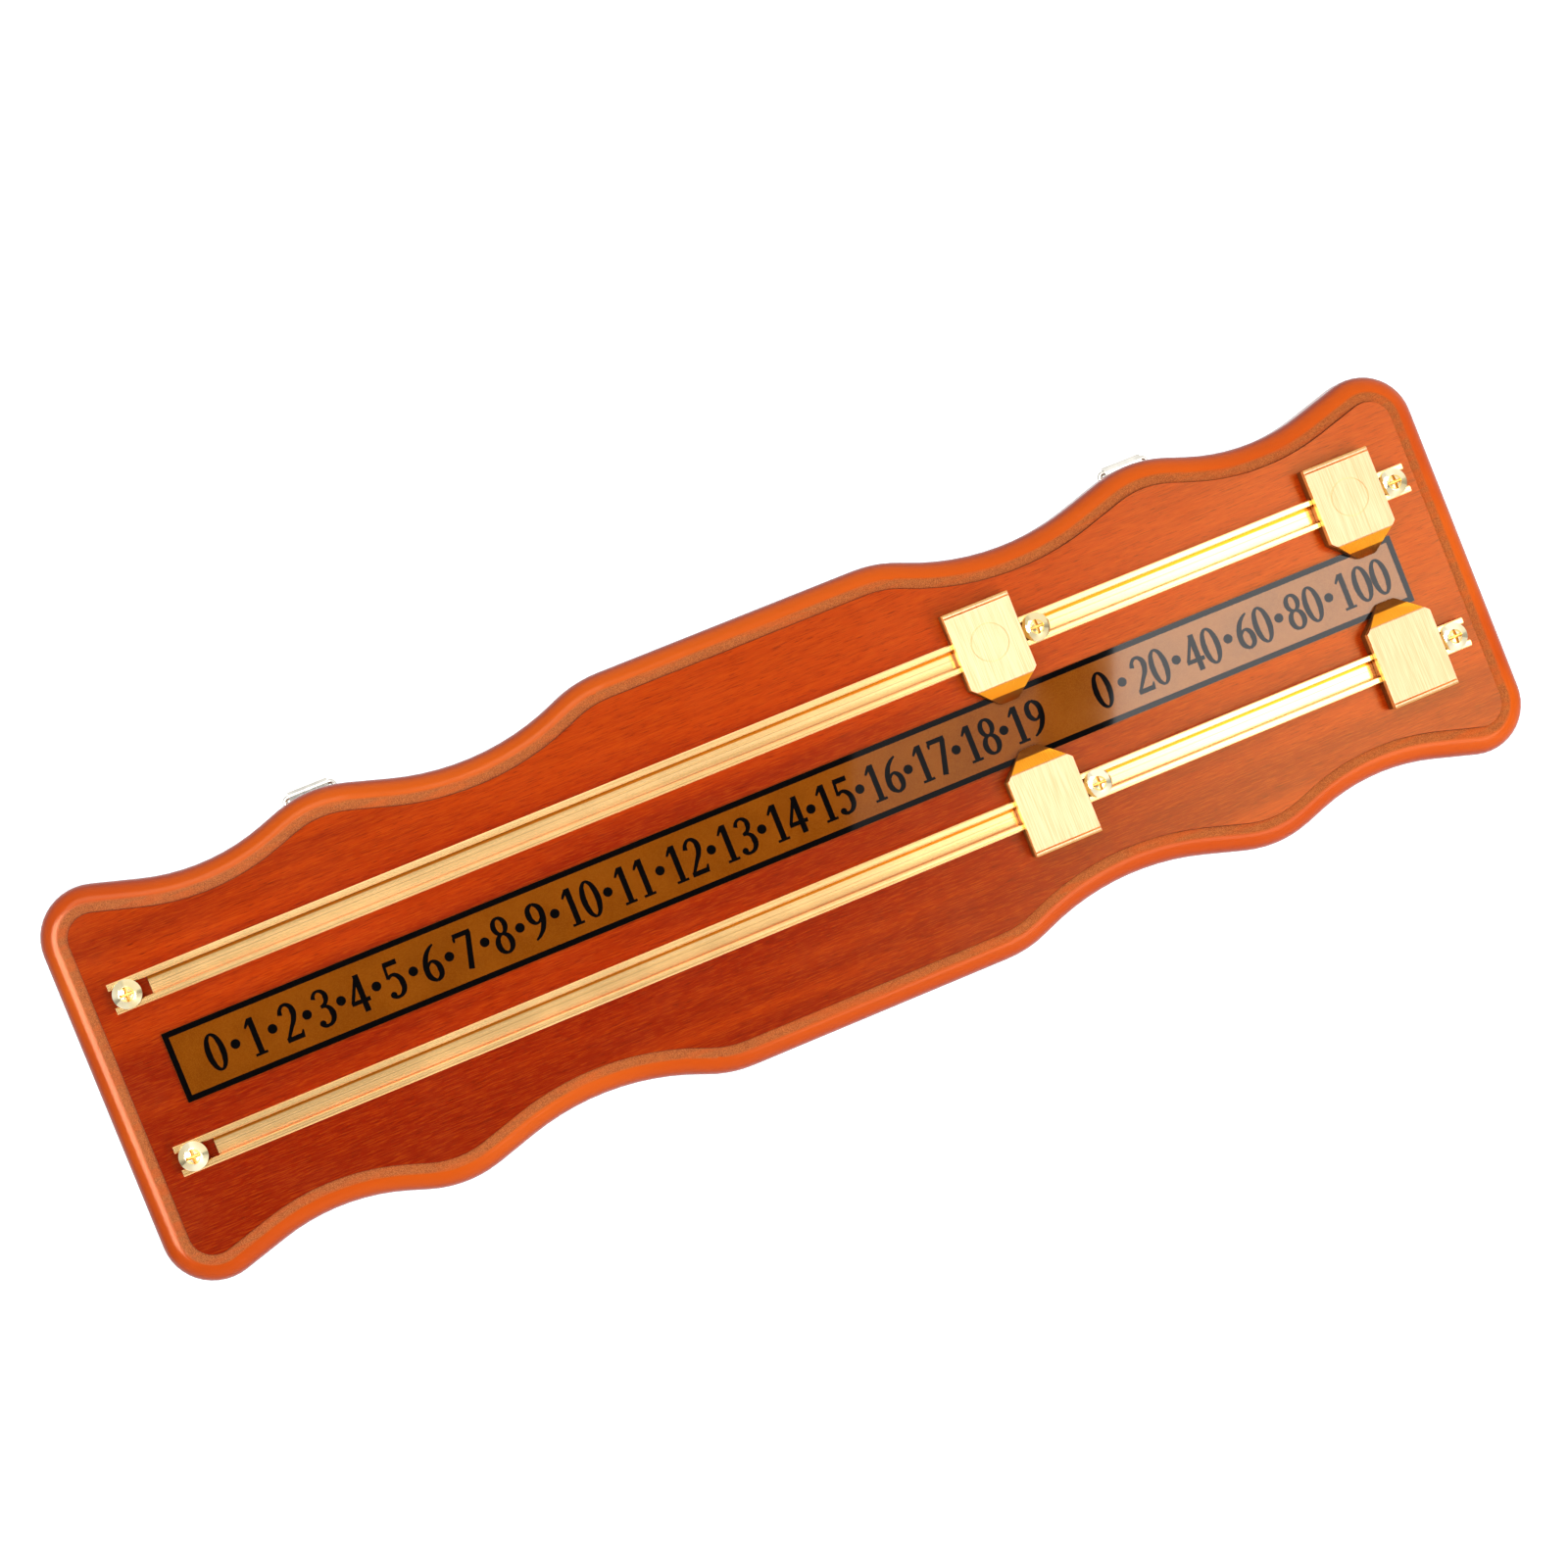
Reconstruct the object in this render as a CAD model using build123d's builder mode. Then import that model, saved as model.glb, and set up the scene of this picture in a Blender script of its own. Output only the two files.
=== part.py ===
from build123d import *
import os

# A wall-hung billiard scoreboard: a wavy veneered board with a printed scale, two slotted rails
# with two sliding pointers each, and two strap hangers with rings at the top of its back.
# X runs along the rails, +Z is up, the front faces -Y and the back lies on the plane Y = 0.

# The board
board_length = 482.0
board_width = 137.2
board_thickness = 15.0
veneer = 0.5
step_depth = 1.2
ledge_width = 2.8
roundover = 6.4

# The board's wavy edge keeps its shape with the length: all its shares are of half the length
shoulder_share = 0.2212
middle_dip_share = 0.3747
crest_share = 0.6008
end_dip_share = 0.7622
middle_dip_drop_share = 0.0645
crest_rise_share = 0.0033
end_dip_drop_share = 0.0533
corner_rise_share = 0.0158
shoulder_radius_share = 0.1701
middle_dip_radius_share = 0.3527
crest_radius_share = 0.1618
end_dip_radius_share = 0.2822
corner_radius_share = 0.0705

# Where the fittings sit on the board
fittings_shift = 1.0
fittings_lift = 1.9
rail_spacing = 54.9
rail_end_margin = 14.4

# The rails
rail_width = 10.0
rail_height = 4.5
rail_opening = 5.7
rail_web = 0.9
rail_wall = 1.0
rail_lip = 0.9
rail_edge_break = 0.35
web_cutback = 12.4
web_hole_play = 0.35

# The rail screws
screw_head_diameter = 9.4
screw_head_height = 2.6
screw_head_rim = 0.7
screw_shank = 3.5
screw_grip = 9.0
screw_tip = 2.5
screw_end_inset = 5.1
middle_screw_share = 0.4035
recess_length = 5.0
recess_width = 1.15
recess_depth = 1.5
recess_taper = 12
pilot_play = 0.05

# The sliding pointers
pointer_width = 23.1
pointer_height = 7.8
pointer_outer = 14.6
pointer_inner = 19.4
facet_start = 12.8
corner_cut_start = 11.4
tip_width = 6.2
tip_thickness = 1.0
tip_rounding = 1.6
running_gap = 0.3
stop_gap = 0.3
line_inset = 1.4
line_width = 0.5
line_depth = 0.4
edge_break = 0.6
side_break = 0.2
spot_diameter = 12.8
spot_offset = 1.0
spot_line = 0.3
spot_depth = 0.2

# The printed scale
scale_width = 23.4
scale_end_margin = 10.6
scale_thickness = 0.8
scale_corner = 0.4
tape_thickness = 0.2
tape_inset = 0.6

# The strap hangers
strap_width = 13.4
strap_sheet = 0.8
strap_length = 24.0
strap_end_radius = 5.0
barrel_rise = 0.65
ring_wire = 1.7
ring_play = 0.08
ring_side_play = 0.4
ring_drop = 12.4
ring_corner = 1.3
ring_seat_gap = 0.3
hanger_screw_down = 18.0
hanger_head_diameter = 7.0
hanger_head_height = 2.0
hanger_head_rim = 0.5
hanger_shank = 3.0
hanger_grip = 9.5
hanger_tip = 2.0
hanger_hole_play = 0.3
hanger_recess_length = 3.8
hanger_recess_width = 0.9
hanger_recess_depth = 1.2

# Places that follow from the sizes
half_length = board_length / 2
half_width = board_width / 2
moulding = ledge_width + roundover
ledge_level = board_thickness - step_depth
plateau_level = board_thickness - veneer
crest_x = crest_share * half_length
rail_length = board_length - 2 * rail_end_margin
rail_end_x = rail_length / 2
rail_inside = rail_width - 2 * rail_wall
rail_top = board_thickness + rail_height
end_screw_x = rail_end_x - screw_end_inset
middle_screw_x = middle_screw_share * rail_end_x
head_reach = screw_head_diameter / 2 + stop_gap + pointer_width / 2
units_rest_x = middle_screw_x - head_reach
hundreds_rest_x = end_screw_x - head_reach
scale_length = rail_length - 2 * scale_end_margin
scale_top = tape_thickness + scale_thickness
ring_radius = ring_wire / 2
barrel_inner = ring_radius + ring_play
barrel_outer = barrel_inner + strap_sheet
barrel_y = strap_sheet + ring_seat_gap + ring_radius
ring_half = strap_width / 2 + ring_side_play + ring_corner

os.makedirs("parts", exist_ok=True)


def write_piece(piece, name):
    piece.part.label = name
    export_step(piece.part, f"parts/{name}.step")


# The wavy outline is one quarter of tangent lines and arcs, mirrored both ways
def outline(inset=0):
    upper_edge_shares = [
        (0, 0),
        (shoulder_share, 0),
        (middle_dip_share, -middle_dip_drop_share),
        (crest_share, crest_rise_share),
        (end_dip_share, -end_dip_drop_share),
        (1, corner_rise_share),
    ]
    quarter_points = [
        (x_share * half_length, half_width + z_share * half_length)
        for x_share, z_share in upper_edge_shares
    ]
    quarter_points.append((half_length, 0))
    radius_shares = [
        shoulder_radius_share,
        middle_dip_radius_share,
        crest_radius_share,
        end_dip_radius_share,
        corner_radius_share,
    ]
    radii = [share * half_length for share in radius_shares]
    with BuildSketch() as sketch:
        with BuildLine():
            FilletPolyline(*quarter_points, radius=radii)
            mirror(about=Plane.YZ)
            mirror(about=Plane.XZ)
        make_face()
        if inset:
            offset(amount=-inset)
    return sketch.sketch


rail_centres = {
    "upper": (fittings_lift + rail_spacing / 2, 1),
    "lower": (fittings_lift - rail_spacing / 2, -1),
}
screw_stops = [-end_screw_x, middle_screw_x, end_screw_x]
rail_screw_places = [
    (fittings_shift + stop, z) for z, side in rail_centres.values() for stop in screw_stops
]
hanger_places = {"left": -crest_x, "right": crest_x}
board_outline = outline()
field_outline = outline(moulding)

# The hangers' barrels show just above the crests of the upper edge
crest_arc = board_outline.edges().sort_by_distance((crest_x, half_width))[0]
barrel_z = crest_arc.bounding_box().max.Y + barrel_rise
hanger_screw_places = [(x, barrel_z - hanger_screw_down) for x in hanger_places.values()]

# The core: a moulded edge round a raised field, with pilot holes from the front and the back
with BuildPart() as board_core:
    with BuildSketch(Plane.XZ.offset(veneer)):
        add(board_outline)
    extrude(amount=ledge_level - veneer)
    fillet(board_core.faces().sort_by(Axis.Y)[0].edges(), radius=roundover)
    with BuildSketch(Plane.XZ.offset(ledge_level)):
        add(field_outline)
    extrude(amount=plateau_level - ledge_level)
    with BuildSketch(Plane.XZ.offset(plateau_level)):
        with Locations(*rail_screw_places):
            Circle(screw_shank / 2 + pilot_play)
    extrude(amount=-(screw_grip - veneer + pilot_play), mode=Mode.SUBTRACT)
    with BuildSketch(Plane.XZ.offset(veneer)):
        with Locations(*hanger_screw_places):
            Circle(hanger_shank / 2 + pilot_play)
    extrude(amount=hanger_grip - veneer + pilot_play, mode=Mode.SUBTRACT)
write_piece(board_core, "board_core")

# The face veneer covers the raised field
with BuildPart() as face_veneer:
    with BuildSketch(Plane.XZ.offset(plateau_level)):
        add(field_outline)
        with Locations(*rail_screw_places):
            Circle(screw_shank / 2 + pilot_play, mode=Mode.SUBTRACT)
    extrude(amount=veneer)
write_piece(face_veneer, "face_veneer")

# The balancing veneer covers the whole back
with BuildPart() as back_veneer:
    with BuildSketch(Plane.XZ):
        add(board_outline)
        with Locations(*hanger_screw_places):
            Circle(hanger_shank / 2 + pilot_play, mode=Mode.SUBTRACT)
    extrude(amount=veneer)
write_piece(back_veneer, "back_veneer")


# A slotted rail: its web is cut back at both ends, where the end screws clamp the lips
def make_rail(centre_z):
    with BuildPart() as rail:
        with BuildSketch(Plane.YZ.offset(fittings_shift - rail_end_x)):
            with Locations((-board_thickness - rail_height / 2, centre_z)):
                Rectangle(rail_height, rail_width)
            with Locations((-board_thickness - (rail_web + rail_height - rail_lip) / 2, centre_z)):
                Rectangle(rail_height - rail_web - rail_lip, rail_inside, mode=Mode.SUBTRACT)
            with Locations((-rail_top + rail_lip / 2, centre_z)):
                Rectangle(rail_lip, rail_opening, mode=Mode.SUBTRACT)
        extrude(amount=rail_length)
        front_edges = rail.faces().filter_by(Axis.Y).group_by(Axis.Y)[0].edges().filter_by(Axis.X)
        chamfer(front_edges, length=rail_edge_break)
        with BuildSketch(Plane.XZ.offset(board_thickness)):
            for end in (-1, 1):
                with Locations((fittings_shift + end * (rail_end_x - web_cutback / 2), centre_z)):
                    Rectangle(web_cutback, rail_inside)
            with Locations((fittings_shift + middle_screw_x, centre_z)):
                Circle(screw_shank / 2 + web_hole_play)
        extrude(amount=rail_web, mode=Mode.SUBTRACT)
    return rail


# A pan head screw along Y: the head's seat lies at seat_level in front of the back's plane
def pan_screw(place, seat_level, facing, head, shank, recess):
    head_diameter, head_height, head_rim = head
    dome_rise = head_height - head_rim
    dome_radius = ((head_diameter / 2) ** 2 + dome_rise**2) / (2 * dome_rise)
    shank_diameter, shank_length, tip_length = shank
    recess_long, recess_wide, recess_deep = recess
    seat = Plane((place[0], -seat_level, place[1]), x_dir=(1, 0, 0), z_dir=(0, -facing, 0))
    with BuildPart() as screw:
        with BuildSketch(Plane(seat.origin, x_dir=seat.x_dir, z_dir=seat.y_dir)):
            with BuildLine():
                shaft = Polyline(
                    (0, -head_height),
                    (0, shank_length),
                    (shank_diameter / 2, shank_length - tip_length),
                    (shank_diameter / 2, 0),
                    (head_diameter / 2, 0),
                    (head_diameter / 2, -head_rim),
                )
                RadiusArc(shaft @ 1, shaft @ 0, radius=dome_radius)
            make_face()
        revolve(axis=Axis(seat.origin, seat.z_dir))
        with BuildSketch(seat.offset(head_height)):
            Rectangle(recess_long, recess_wide)
            Rectangle(recess_wide, recess_long)
        extrude(amount=-recess_deep, taper=recess_taper, mode=Mode.SUBTRACT)
    return screw


def rail_screw(stop, rail_z):
    head = (screw_head_diameter, screw_head_height, screw_head_rim)
    shank = (screw_shank, rail_height + screw_grip, screw_tip)
    recess = (recess_length, recess_width, recess_depth)
    return pan_screw((fittings_shift + stop, rail_z), rail_top, 1, head, shank, recess)


# A pointer is a bar sawn from one profile: T foot, slot over the rail, flat top and sloping facet
def make_pointer(centre_x, centre_z, side, spot):
    body_under = board_thickness + running_gap
    strip_edge = rail_spacing / 2 - scale_width / 2
    over_strip = board_thickness + scale_top + running_gap
    top_level = board_thickness + pointer_height
    slot_half = rail_width / 2 + running_gap
    slot_top = rail_top + running_gap
    neck_half = rail_opening / 2 - running_gap
    foot_half = rail_inside / 2 - running_gap
    foot_under = board_thickness + rail_web + running_gap
    foot_top = rail_top - rail_lip - running_gap
    profile = [
        (pointer_outer, body_under),
        (pointer_outer, top_level - edge_break),
        (pointer_outer - edge_break, top_level),
        (pointer_outer - line_inset + line_width / 2, top_level),
        (pointer_outer - line_inset, top_level - line_depth),
        (pointer_outer - line_inset - line_width / 2, top_level),
        (-facet_start, top_level),
        (-pointer_inner, over_strip + tip_thickness),
        (-pointer_inner, over_strip),
        (-strip_edge + running_gap, over_strip),
        (-strip_edge + running_gap, body_under),
        (-slot_half, body_under),
        (-slot_half, slot_top),
        (-neck_half, slot_top),
        (-neck_half, foot_top),
        (-foot_half, foot_top),
        (-foot_half, foot_under),
        (foot_half, foot_under),
        (foot_half, foot_top),
        (neck_half, foot_top),
        (neck_half, slot_top),
        (slot_half, slot_top),
        (slot_half, body_under),
    ]
    with BuildPart() as pointer:
        with BuildSketch(Plane.YZ.offset(centre_x - pointer_width / 2)):
            with BuildLine():
                Polyline(*[(-level, centre_z + side * z) for z, level in profile], close=True)
            make_face()
        extrude(amount=pointer_width)
        with BuildSketch(Plane.XZ):
            with BuildLine():
                Polyline(
                    (centre_x - pointer_width / 2, centre_z + side * pointer_outer),
                    (centre_x + pointer_width / 2, centre_z + side * pointer_outer),
                    (centre_x + pointer_width / 2, centre_z - side * corner_cut_start),
                    (centre_x + tip_width / 2, centre_z - side * pointer_inner),
                    (centre_x - tip_width / 2, centre_z - side * pointer_inner),
                    (centre_x - pointer_width / 2, centre_z - side * corner_cut_start),
                    close=True,
                )
            plan = make_face()
            tip_corners = plan.vertices().sort_by_distance((centre_x, centre_z - side * pointer_inner))[:2]
            fillet(tip_corners, radius=tip_rounding)
        extrude(amount=top_level, mode=Mode.INTERSECT)
        top_faces = pointer.faces().filter_by(Axis.Y).group_by(Axis.Y)[0]
        chamfer(top_faces.edges().filter_by(Axis.Z), length=side_break)
        if spot:
            with BuildSketch(Plane.XZ.offset(top_level)):
                with Locations((centre_x, centre_z + side * spot_offset)):
                    Circle(spot_diameter / 2)
                    Circle(spot_diameter / 2 - spot_line, mode=Mode.SUBTRACT)
            extrude(amount=-spot_depth, mode=Mode.SUBTRACT)
    return pointer


for rail_name, (rail_z, side) in rail_centres.items():
    write_piece(make_rail(rail_z), f"{rail_name}_rail")
    with BuildPart() as end_screws:
        for stop in (-end_screw_x, end_screw_x):
            add(rail_screw(stop, rail_z).part)
    write_piece(end_screws, f"{rail_name}_rail_end_screws")
    write_piece(rail_screw(middle_screw_x, rail_z), f"{rail_name}_rail_middle_screw")
    for count_name, rest_x in (("units", units_rest_x), ("hundreds", hundreds_rest_x)):
        pointer = make_pointer(fittings_shift + rest_x, rail_z, side, spot=side > 0)
        write_piece(pointer, f"{rail_name}_{count_name}_pointer")

# The printed scale strip and the tape that holds it
with BuildPart() as scale_tape:
    with BuildSketch(Plane.XZ.offset(board_thickness)):
        with Locations((0, fittings_lift)):
            Rectangle(scale_length - 2 * tape_inset, scale_width - 2 * tape_inset)
    extrude(amount=tape_thickness)
write_piece(scale_tape, "scale_tape")

with BuildPart() as scale_strip:
    with BuildSketch(Plane.XZ.offset(board_thickness + tape_thickness)):
        with Locations((0, fittings_lift)):
            RectangleRounded(scale_length, scale_width, scale_corner)
    extrude(amount=scale_thickness)
write_piece(scale_strip, "scale_strip")


# A strap is a plate on the board's back, curled round the straight bar of its ring
def make_strap(centre_x):
    screw_z = barrel_z - hanger_screw_down
    with BuildPart() as strap:
        with BuildSketch(Plane.XZ):
            with Locations((centre_x, barrel_z - strap_length / 2)):
                plate = Rectangle(strap_width, strap_length)
            lower_corners = plate.vertices().group_by(Axis.Y)[0]
            fillet(lower_corners, radius=strap_end_radius)
            with Locations((centre_x, screw_z)):
                Circle(hanger_shank / 2 + hanger_hole_play, mode=Mode.SUBTRACT)
        extrude(amount=-strap_sheet)
        with BuildSketch(Plane.YZ.offset(centre_x - strap_width / 2)):
            with Locations((barrel_y, barrel_z)):
                Circle(barrel_outer)
        extrude(amount=strap_width)
        with BuildSketch(Plane.YZ.offset(centre_x - strap_width / 2)):
            with Locations((barrel_y, barrel_z)):
                Circle(barrel_inner)
        extrude(amount=strap_width, mode=Mode.SUBTRACT)
    return strap


# A ring is a wire bent to a D: a straight bar in the strap's barrel and a rounded loop below it
def make_ring(centre_x):
    with BuildPart() as ring:
        with BuildLine(Plane((centre_x, barrel_y, barrel_z), x_dir=(1, 0, 0), z_dir=(0, -1, 0))) as wire:
            bar = Line((-ring_half + ring_corner, 0), (ring_half - ring_corner, 0))
            right_bend = TangentArc(bar @ 1, (ring_half, -ring_corner), tangent=bar % 1)
            right_side = Line(right_bend @ 1, (ring_half, -ring_drop + ring_half))
            bottom = TangentArc(right_side @ 1, (-ring_half, -ring_drop + ring_half), tangent=right_side % 1)
            left_side = Line(bottom @ 1, (-ring_half, -ring_corner))
            TangentArc(left_side @ 1, bar @ 0, tangent=left_side % 1)
        with BuildSketch(Plane((centre_x, barrel_y, barrel_z), x_dir=(0, 1, 0), z_dir=(1, 0, 0))):
            Circle(ring_radius)
        sweep(path=wire.wires()[0])
    return ring


def hanger_screw(centre_x):
    head = (hanger_head_diameter, hanger_head_height, hanger_head_rim)
    shank = (hanger_shank, strap_sheet + hanger_grip, hanger_tip)
    recess = (hanger_recess_length, hanger_recess_width, hanger_recess_depth)
    place = (centre_x, barrel_z - hanger_screw_down)
    return pan_screw(place, -strap_sheet, -1, head, shank, recess)


for hanger_name, hanger_x in hanger_places.items():
    write_piece(make_strap(hanger_x), f"{hanger_name}_hanger_strap")
    write_piece(make_ring(hanger_x), f"{hanger_name}_hanger_ring")
    write_piece(hanger_screw(hanger_x), f"{hanger_name}_hanger_screw")
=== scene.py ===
# %% [markdown]
# # A billiard scoreboard, dressed for its picture
# The real object is a wavy wooden board with two slotted gold rails, four sliding pointers and a
# printed bronze scale between the rails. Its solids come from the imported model, already in their
# places. This lesson gives each of them its finish, draws the printed figures, and sets up the
# camera and a small studio.
#
# The solids could be modelled again here, but then two versions would have to agree. So they are
# loaded and never moved, and only their materials change. The scene is in metres, and MM turns the
# millimetres in which a maker thinks into metres.

# %% Load the frame
import math

import bpy
from mathutils import Matrix, Vector


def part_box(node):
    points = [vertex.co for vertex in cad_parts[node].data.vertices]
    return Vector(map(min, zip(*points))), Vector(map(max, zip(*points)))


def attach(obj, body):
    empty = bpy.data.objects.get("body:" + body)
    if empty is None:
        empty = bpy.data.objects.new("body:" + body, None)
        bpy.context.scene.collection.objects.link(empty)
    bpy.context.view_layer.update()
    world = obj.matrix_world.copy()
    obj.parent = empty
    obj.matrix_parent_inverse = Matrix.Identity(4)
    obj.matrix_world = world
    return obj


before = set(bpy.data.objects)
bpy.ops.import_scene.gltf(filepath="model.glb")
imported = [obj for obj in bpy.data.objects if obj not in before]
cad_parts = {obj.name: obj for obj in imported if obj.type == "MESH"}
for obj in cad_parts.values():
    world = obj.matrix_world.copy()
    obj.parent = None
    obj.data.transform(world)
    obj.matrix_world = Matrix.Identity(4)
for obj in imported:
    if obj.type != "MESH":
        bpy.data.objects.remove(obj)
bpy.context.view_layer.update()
MM = 0.001
bpy.ops.object.select_all(action="DESELECT")

# %% [markdown]
# ## The camera
# The picture was taken from about a metre away, a little left of the board's middle and just above
# it, with the camera tilted, so that the rails climb to the right. A camera can be turned by three
# angles, but angles are hard to read off a picture. Here it is turned by its own axes: where its
# right side, its top and its back point. The three make a matrix, which Blender turns into angles,
# and the lamps are placed along the same axes later on.

# %% Set the camera
camera_place = (-0.1349, -1.0352, 0.0477)
camera_right = Vector((0.91868, -0.13172, -0.37240))
camera_top = Vector((0.37359, -0.01652, 0.92745))
camera_back = Vector((-0.12832, -0.99115, 0.03404))
sensor_width, lens = 36, 73.08

bpy.ops.object.camera_add(location=camera_place)
camera = bpy.context.object
camera.name = "camera"
turn = Matrix((camera_right, camera_top, camera_back)).transposed()
camera.rotation_euler = turn.to_euler()
camera.data.sensor_width = sensor_width
camera.data.lens = lens
bpy.context.scene.camera = camera
print("camera", [round(v, 3) for v in camera.location], "lens", round(camera.data.lens, 2))

# %% [markdown]
# ## Helpers for materials
# A material is a small graph of nodes, as one would draw it in the shader editor. These helpers add
# one node and wire it in a single line, so that the recipes below read from top to bottom like a
# list of steps. feed takes either a wire from another node or a plain value, and between is a soft
# step: it turns a range of one value into a share from 0 to 1. The mix node keeps its sockets for
# numbers, vectors and colours side by side: 0 takes the share, 6 and 7 take the two colours, and
# the mixed colour comes out at 2.

# %% Helpers: nodes and wires
def add_node(tree, kind, settings=None, inputs=None):
    made = tree.nodes.new(kind)
    for name, value in (settings or {}).items():
        setattr(made, name, value)
    for name, value in (inputs or {}).items():
        feed(tree, value, made.inputs[name])
    return made


def feed(tree, value, socket):
    if isinstance(value, bpy.types.NodeSocket):
        tree.links.new(value, socket)
    else:
        socket.default_value = value


def arithmetic(tree, operation, first, second=0.0, third=0.0):
    made = add_node(tree, "ShaderNodeMath", {"operation": operation})
    for place, value in enumerate((first, second, third)):
        feed(tree, value, made.inputs[place])
    return made.outputs[0]


def between(tree, value, low, high, to_low=0.0, to_high=1.0):
    made = add_node(tree, "ShaderNodeMapRange", {"interpolation_type": "SMOOTHSTEP"}, {
        "Value": value, "From Min": low, "From Max": high, "To Min": to_low, "To Max": to_high})
    return made.outputs["Result"]


def blend_colours(tree, share, first, second):
    made = add_node(tree, "ShaderNodeMix", {"data_type": "RGBA"}, {
        0: share, 6: first, 7: second})
    return made.outputs[2]


print("helpers for nodes are ready")

# %% [markdown]
# ## Colours
# A colour that is read off a picture is a number from 0 to 255, and it is stored with a curve that
# suits the eye. A shader works with the amount of light, so ink undoes that curve. The name is a
# maker's word for a mixed colour, and each recipe below names its inks.

# %% Helper: mix an ink
def ink(red, green, blue):
    """A colour as it reads off the photograph, 0 to 255, in the linear values of a shader."""
    return tuple(
        (v / 255 / 12.92) if v / 255 <= 0.04045 else ((v / 255 + 0.055) / 1.055) ** 2.4
        for v in (red, green, blue)) + (1.0,)


print("a mid orange in linear values", [round(v, 3) for v in ink(205, 75, 15)])

# %% [markdown]
# ## A group for streaks
# Wood grain and brushed metal are the same thing to a shader: noise that is stretched a long way in
# one direction. Both could be painted as pictures, but noise needs no file and no unwrapping, and
# it keeps its true size on every piece. The group is built once and gives three results: the fine
# streaks, a broad and slow version of them, and only their rare peaks, which serve as pores.

# %% Shared group: streaks
def new_group(name, inputs, outputs):
    group = bpy.data.node_groups.new(name, "ShaderNodeTree")
    for socket_name, kind in inputs:
        group.interface.new_socket(name=socket_name, in_out="INPUT", socket_type=kind)
    for socket_name in outputs:
        group.interface.new_socket(name=socket_name, in_out="OUTPUT", socket_type="NodeSocketFloat")
    return group, add_node(group, "NodeGroupInput"), add_node(group, "NodeGroupOutput")


broad_scale = 0.13
rare_from, rare_full = 0.56, 0.70

streaks, entry, leave = new_group(
    "streaks", [("Place", "NodeSocketVector"), ("Stretch", "NodeSocketVector")],
    ["Fine", "Broad", "Rare"])
stretched = add_node(streaks, "ShaderNodeVectorMath", {"operation": "MULTIPLY"}, {
    0: entry.outputs["Place"], 1: entry.outputs["Stretch"]})
wide = add_node(streaks, "ShaderNodeVectorMath", {"operation": "SCALE"}, {
    0: stretched.outputs[0], "Scale": broad_scale})
fine = add_node(streaks, "ShaderNodeTexNoise", None, {
    "Vector": stretched.outputs[0], "Scale": 1.0, "Detail": 3.0, "Roughness": 0.6})
broad = add_node(streaks, "ShaderNodeTexNoise", None, {
    "Vector": wide.outputs[0], "Scale": 1.0, "Detail": 2.0, "Roughness": 0.5})
feed(streaks, fine.outputs[0], leave.inputs["Fine"])
feed(streaks, broad.outputs[0], leave.inputs["Broad"])
feed(streaks, between(streaks, fine.outputs[0], rare_from, rare_full), leave.inputs["Rare"])
print("group", streaks.name, [s.name for s in leave.inputs if s.name])

# %% [markdown]
# ## A group for handling
# Polishing and use leave soft blotches on lacquer and metal. They show as changes in gloss and not
# in colour. They could be painted one by one, but the eye doesn't follow single blotches. So one
# noise with several sizes in it, cut to a soft mask, is enough, and every finish that uses the
# group sets for itself how much duller a blotch is.

# %% Shared group: handling
handling, entry, leave = new_group("handling", [("Place", "NodeSocketVector")], ["Mask"])
blotches = add_node(handling, "ShaderNodeTexNoise", None, {
    "Vector": entry.outputs["Place"], "Scale": 38.0, "Detail": 5.0, "Roughness": 0.62})
feed(handling, between(handling, blotches.outputs[0], 0.42, 0.66), leave.inputs["Mask"])
print("groups", [g.name for g in bpy.data.node_groups])

# %% [markdown]
# ## Starting a material
# Every material begins the same way: a Principled shader, and the place of each point in metres.
# Object coordinates are chosen because all pieces share one origin. So a pattern keeps its size,
# and a height or a depth in a recipe is a height or a depth on the board. relief turns a grey value
# into a very shallow bump, for texture that is too fine to model.

# %% Helpers: start a material, use a group
def start_material(name):
    material = bpy.data.materials.new(name)
    material.use_nodes = True
    tree = material.node_tree
    shader = tree.nodes["Principled BSDF"]
    place = add_node(tree, "ShaderNodeTexCoord").outputs["Object"]
    return material, tree, shader, place


def use_group(tree, group, inputs):
    return add_node(tree, "ShaderNodeGroup", {"node_tree": group}, inputs)


def split(tree, place):
    parts = add_node(tree, "ShaderNodeSeparateXYZ", None, {0: place})
    return parts.outputs[0], parts.outputs[1], parts.outputs[2]


def relief(tree, shader, height, distance, strength=1.0):
    bump = add_node(tree, "ShaderNodeBump", None, {
        "Height": height, "Distance": distance, "Strength": strength})
    feed(tree, bump.outputs[0], shader.inputs["Normal"])


def report(material):
    print("finish", material.name, "with", len(material.node_tree.nodes), "nodes")


print("helpers for materials are ready")

# %% [markdown]
# ## The face veneer: its stain
# The face is a reddish hardwood veneer, stained orange. Its grain runs along the board, with pores
# that are short dark dashes, and the wood is painted darker towards the lower left, as painted
# shade. Instead of one picture of wood, four thin layers are laid over each other, as a finisher
# would: the slow change across the board, partly random tone and partly painted shade, darker
# bands, light grain between them, and the pores.

# %% Face veneer: colour
veneer_face, tree, shader, place = start_material("stained_veneer")
across, _, height = split(tree, place)
grain = use_group(tree, streaks, {"Place": place, "Stretch": (230.0, 300.0, 4200.0)})
bands = use_group(tree, streaks, {"Place": place, "Stretch": (30.0, 90.0, 620.0)})

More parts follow.
